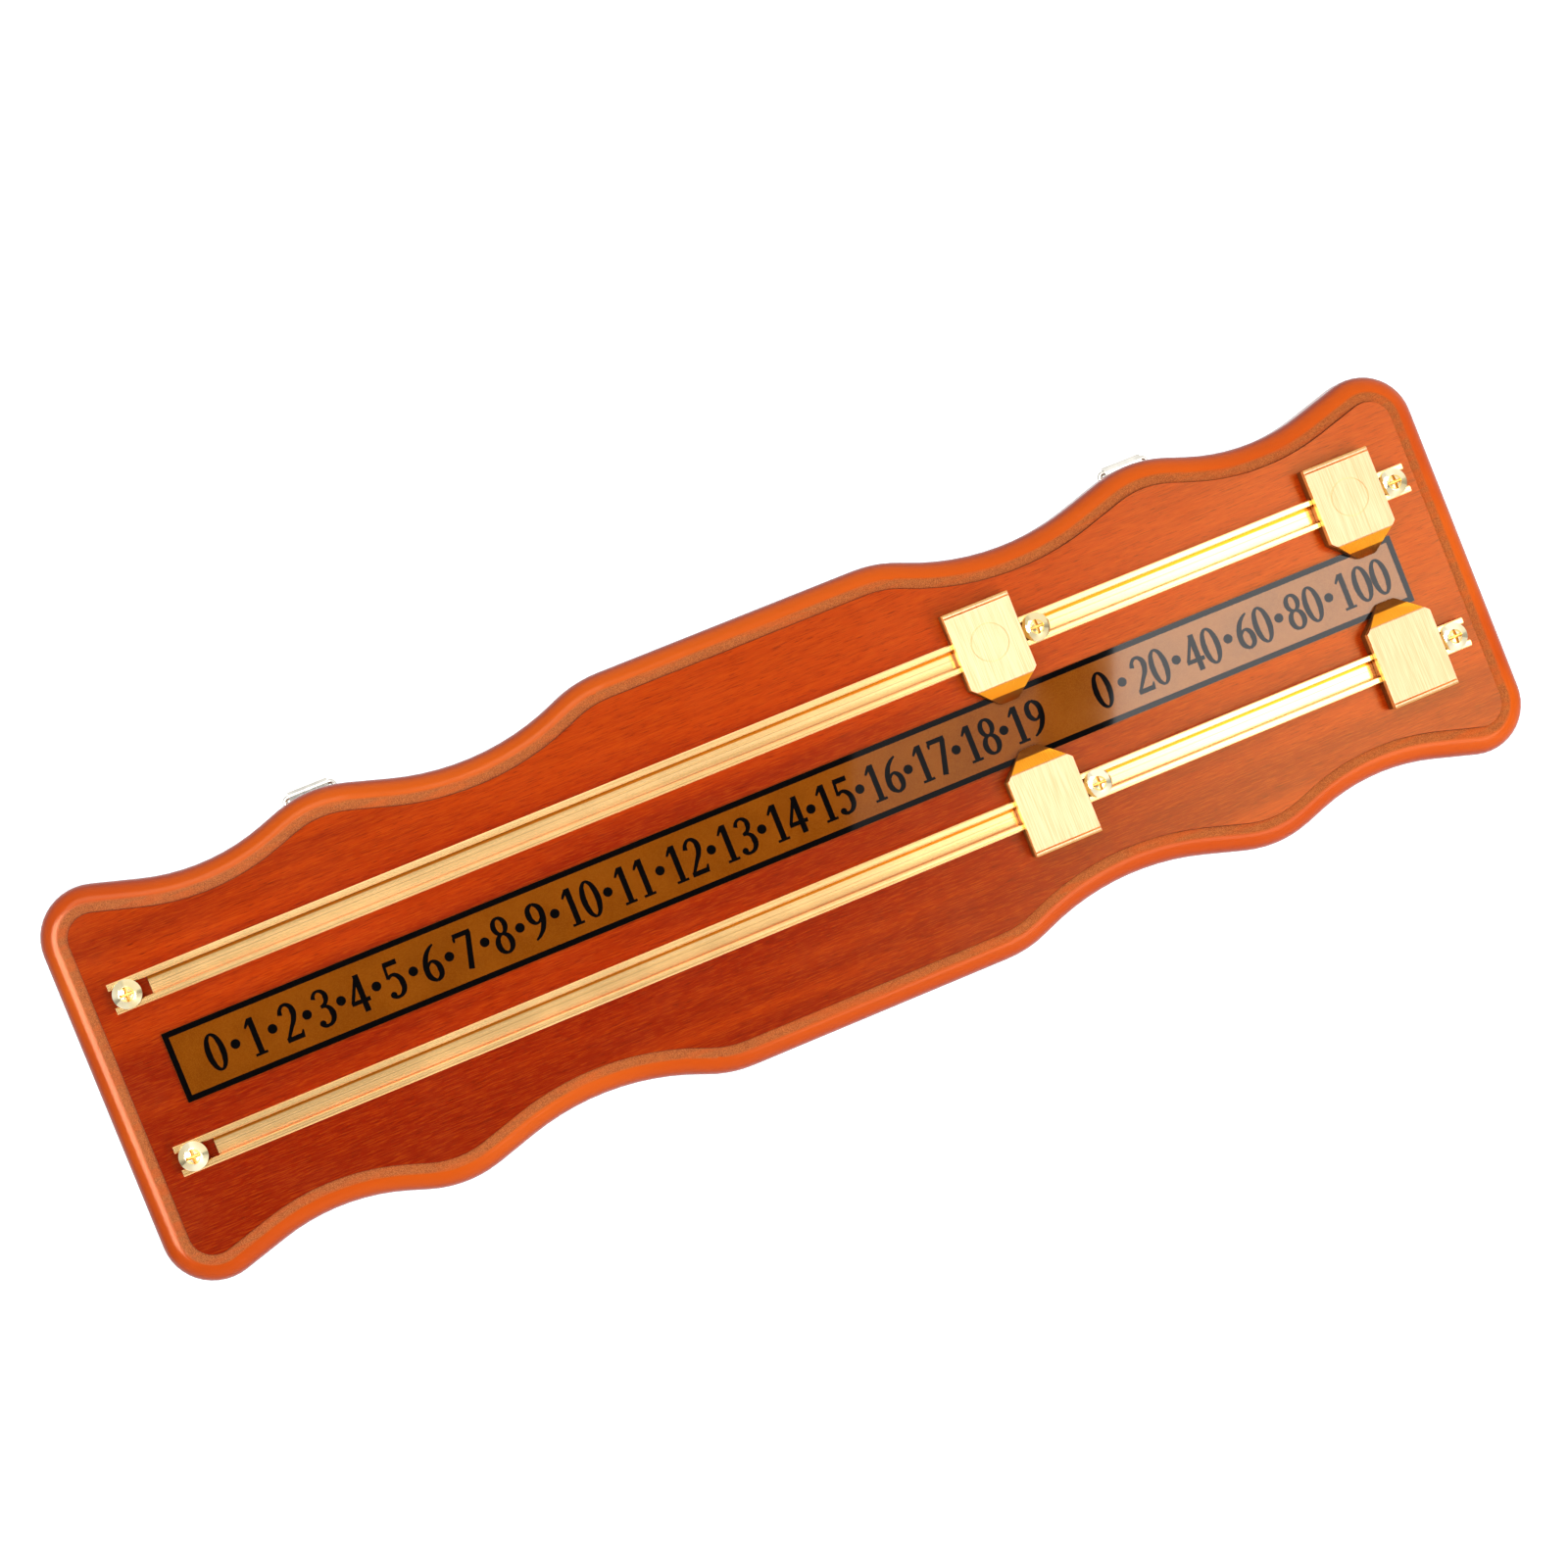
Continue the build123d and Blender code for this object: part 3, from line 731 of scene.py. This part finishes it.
# %% Set the whole scale
units = [-202.2, -189.1, -177.3, -165.9, -154.3, -141.9, -129.3, -117.3, -105.1, -93.1,
         -77.9, -59.7, -41.7, -23.9, -6.4, 10.7, 28.1, 45.0, 62.3, 79.1]
twenties = [106.3, 123.6, 142.4, 161.3, 179.7, 201.3]
numbers = [[(str(k), x) for k, x in enumerate(units)],
           [(str(20 * k), x) for k, x in enumerate(twenties)]]
figure_pitch, figure_width, figure_middle = 6.5, 6.4, 6.3
layer_step = 0.004
strokes = []


def set_figure(sign, centre):
    left, foot = centre - figure_width / 2, scale_middle - figure_middle
    for layer, (kind, points) in enumerate(figures[sign]):
        strokes.append(draw_stroke(kind, points, left, foot, layer * layer_step, nib))


for row in numbers:
    last_edge = None
    for text, centre in row:
        half = (len(text) - 1) * figure_pitch / 2
        for place, sign in enumerate(text):
            set_figure(sign, centre - half + place * figure_pitch)
        if last_edge is not None:
            set_figure(".", (last_edge + centre - half - figure_width / 2) / 2)
        last_edge = centre + half + figure_width / 2
bpy.data.objects.remove(nib)
print("strokes", len(strokes))

# %% [markdown]
# ## The black border
# The border is printed with the figures, a line 1.9 mm wide all round the strip. Four long
# rectangles would do, but their corners would overlap. So it starts as one plane of nearly the
# strip's size, an inset in edit mode draws a smaller rectangle inside it, and the inner face is
# deleted. A twentieth of a millimetre is left free all round, so that no ink hangs over the edge.

# %% Print the border
border_line, free_edge = 1.9, 0.05
border_length = strip["right"] - strip["left"] - 2 * free_edge
border_height = strip["top"] - strip["bottom"] - 2 * free_edge
bpy.ops.mesh.primitive_plane_add(size=1, location=(0, scale_middle, 0))
border = bpy.context.object
border.scale = (border_length, border_height, 1)
bpy.ops.object.transform_apply(location=True, rotation=False, scale=True)
bpy.ops.object.mode_set(mode="EDIT")
bpy.ops.mesh.select_all(action="SELECT")
bpy.ops.mesh.inset(thickness=border_line, depth=0)
bpy.ops.mesh.delete(type="FACE")
bpy.ops.object.mode_set(mode="OBJECT")
print("border faces", len(border.data.polygons))

# %% [markdown]
# ## One sheet of print
# Border and figures are one print, so they are joined into one piece. They were drawn lying flat
# and in millimetres, as on a sheet of paper, because each figure is easiest to follow that way. The
# piece is now stood up against the strip, a fiftieth of a millimetre in front of it, and scaled to
# metres. Then the move is applied, so that the object itself sits at the origin like every other
# piece.

# %% Join the print and stand it up
ink_thickness = 0.02
print_level = strip["front"] - ink_thickness
bpy.ops.object.select_all(action="DESELECT")
for piece in strokes + [border]:
    piece.select_set(True)
bpy.context.view_layer.objects.active = border
bpy.ops.object.join()
scale_print = bpy.context.object
scale_print.name = "scale_print"
scale_print.matrix_world = Matrix.Translation((0, print_level * MM, 0)) @ Matrix.Rotation(
    math.pi / 2, 4, "X") @ Matrix.Scale(MM, 4)
bpy.ops.object.transform_apply(location=True, rotation=True, scale=True)
wrong_way = sum(1 for face in scale_print.data.polygons if face.normal.y > 0)
print("print faces", len(scale_print.data.polygons), "facing the board", wrong_way)

# %% [markdown]
# ## Black ink
# The ink is a deep black that soaked in a little unevenly, under the same clear film as the bronze.
# One plain black would look cut out of paper. So the black varies a very little, the ink's own
# reflection is turned off, because ink hardly shines, and the film is a clear coat. The print rides
# on the board.

# %% Black ink on the print
black_ink, tree, shader, place = start_material("black_ink")
soak = add_node(tree, "ShaderNodeTexNoise", None, {
    "Vector": place, "Scale": 900.0, "Detail": 3.0})
feed(tree, blend_colours(tree, soak.outputs[0], ink(5, 4, 4), ink(13, 11, 12)),
     shader.inputs["Base Color"])
feed(tree, between(tree, soak.outputs[0], 0.3, 0.7, 0.30, 0.42), shader.inputs["Roughness"])
shader.inputs["Specular IOR Level"].default_value = 0.0
shader.inputs["Coat Weight"].default_value = 0.55
shader.inputs["Coat Roughness"].default_value = 0.03
scale_print.data.materials.clear()
scale_print.data.materials.append(black_ink)
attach(scale_print, "board")
report(black_ink)

# %% [markdown]
# ## The studio
# The board hangs free in a white room. Floor and backdrop are pale paper in the lamps' light.
# Stronger lamps would make the paper white, but they would bleach the board too. So what the paper
# lacks is added as a glow that only the camera and mirror and glass surfaces see. None of it falls
# on the board, and the soft shadow on the paper stays.

# %% Floor and backdrop
def paper(grey, glow):
    material = bpy.data.materials.new("paper")
    material.use_nodes = True
    tree = material.node_tree
    shader = tree.nodes["Principled BSDF"]
    shader.inputs["Base Color"].default_value = (grey, grey, grey, 1)
    shader.inputs["Roughness"].default_value = 0.9
    path = add_node(tree, "ShaderNodeLightPath")
    seen = arithmetic(tree, "MAXIMUM", path.outputs["Is Camera Ray"], path.outputs["Is Glossy Ray"])
    seen = arithmetic(tree, "MAXIMUM", seen, path.outputs["Is Transmission Ray"])
    shader.inputs["Emission Color"].default_value = (1, 1, 1, 1)
    feed(tree, arithmetic(tree, "MULTIPLY", seen, glow), shader.inputs["Emission Strength"])
    return material


paper_white = paper(grey=0.86, glow=0.66)
sheet_size, floor_level, backdrop_distance = 8, -1.5, 1.4
bpy.ops.mesh.primitive_plane_add(size=sheet_size, location=(0, 0, floor_level))
floor = bpy.context.object
floor.name = "floor"
bpy.ops.mesh.primitive_plane_add(size=sheet_size, location=(0, backdrop_distance, 0),
                                 rotation=(math.pi / 2, 0, 0))
backdrop = bpy.context.object
backdrop.name = "backdrop"
for sheet in (floor, backdrop):
    sheet.data.materials.append(paper_white)
print("staged", floor.name, backdrop.name)

# %% [markdown]
# ## The lamps
# The glossy strip is a small mirror, and it tells where the lamps stood: a large soft box to the
# right, a narrow gap, and a dim panel beside it. Two weaker boxes, to the left and above, open up
# the shade. The lamps are placed along the camera's own axes, because the real ones stood upright
# to the camera while the board leaned. The bright line along the rim at the left needs a stronger
# mirror image than the wood could stand as light. So a card in front of the left box shows in
# reflections only. A soft box is described by how bright it looks, which is what a mirror shows,
# and its energy follows from its area.

# %% Lamps
def soft_box(name, right, top, back, width, height, brightness):
    place = camera.location + camera_right * right + camera_top * top + camera_back * back
    bpy.ops.object.light_add(type="AREA", location=place, rotation=camera.rotation_euler)
    lamp = bpy.context.object
    lamp.name = name
    lamp.data.shape = "RECTANGLE"
    lamp.data.size, lamp.data.size_y = width, height
    lamp.data.energy = brightness * math.pi * width * height
    return lamp


key_box = soft_box("key_box", right=1.194, top=-0.31, back=0.40,
                   width=1.06, height=1.50, brightness=4.9)
dim_panel = soft_box("dim_panel", right=0.521, top=-0.28, back=0.40,
                     width=0.156, height=1.3, brightness=0.6)
left_box = soft_box("left_box", right=-0.95, top=-0.21, back=0.40,
                    width=0.9, height=0.9, brightness=2.2)
high_box = soft_box("high_box", right=-0.45, top=0.83, back=0.40,
                    width=0.8, height=0.7, brightness=4.2)
gleam_card = soft_box("gleam_card", right=-0.95, top=-0.21, back=0.38,
                      width=0.9, height=1.1, brightness=18.0)
gleam_card.visible_diffuse = False
for lamp in (key_box, dim_panel, left_box, high_box, gleam_card):
    print(lamp.name, "energy", round(lamp.data.energy, 2))

# %% [markdown]
# ## The room
# The rest of the room is the world. Matt surfaces get a plain, even light from it, and the camera
# sees it white. Metal and lacquer mirror it, and the photograph shows what they saw: a pale room
# that is brighter above and to the right, with a dark band at the height of the camera, straight
# behind it. The band is why the left half of the strip shows its own colour. Modelled walls would
# also change the light on the board, so the world shader draws them, for glossy rays only, from
# the direction in which a ray leaves.

# %% World
world = bpy.data.worlds.new("room")
bpy.context.scene.world = world
world.use_nodes = True
tree = world.node_tree
background = tree.nodes["Background"]
background.inputs["Color"].default_value = (1, 1, 1, 1)
room_light, band_height = 0.34, -0.045

direction = add_node(tree, "ShaderNodeTexCoord").outputs["Generated"]
sideways, backwards, upwards = split(tree, direction)
off_band = arithmetic(tree, "ABSOLUTE", arithmetic(tree, "ADD", upwards, -band_height))
dark_band = arithmetic(tree, "MULTIPLY", between(tree, backwards, -0.89, -0.96, 0.0, 0.97),
                       between(tree, off_band, 0.10, 0.035))
walls = arithmetic(tree, "MULTIPLY", between(tree, upwards, -0.25, 0.15, 0.55, 1.4),
                   between(tree, sideways, -0.16, 0.06, 0.70, 1.0))
walls = arithmetic(tree, "MULTIPLY", walls, arithmetic(tree, "SUBTRACT", 1.0, dark_band))

path = add_node(tree, "ShaderNodeLightPath")
for_mirrors = arithmetic(tree, "MULTIPLY", path.outputs["Is Glossy Ray"],
                         arithmetic(tree, "SUBTRACT", walls, room_light))
room = arithmetic(tree, "ADD", for_mirrors, room_light)
feed(tree, arithmetic(tree, "MAXIMUM", room, path.outputs["Is Camera Ray"]),
     background.inputs["Strength"])
world.cycles.sampling_method = "NONE"
bpy.context.scene.view_settings.view_transform = "Standard"
print("world", world.name, "with", len(tree.nodes), "nodes")
